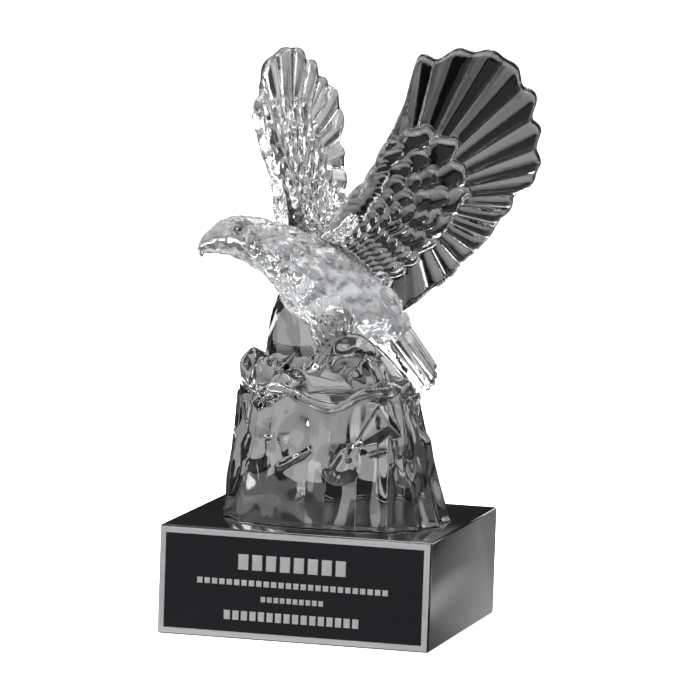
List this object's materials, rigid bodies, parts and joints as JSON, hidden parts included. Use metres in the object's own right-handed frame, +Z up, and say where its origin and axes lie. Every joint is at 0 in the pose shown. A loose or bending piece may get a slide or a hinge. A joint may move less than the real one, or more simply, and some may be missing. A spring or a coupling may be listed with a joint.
{
  "type": "sculpture",
  "caption": "Clear moulded crystal eagle with raised wings on a craggy crystal rock, on a square black block base with an engraved metal plaque.",
  "frame": {"origin": "centre of the base block's underside, on the surface it stands on", "axes": "+Z up; -Y is the front, the side with the plaque; the eagle looks to -X and a little to -Y"},
  "size_m": [0.1624, 0.14, 0.2718],
  "materials": {
    "black_lacquer": "high gloss black lacquer",
    "plaque_metal": "fine brushed border, black enamelled field",
    "clear_crystal": "fire polished, clear"
  },
  "bodies": {
    "root": {"base_block": "black_lacquer", "plaque": "plaque_metal", "crystal_eagle": "clear_crystal"}
  },
  "joints": []
}
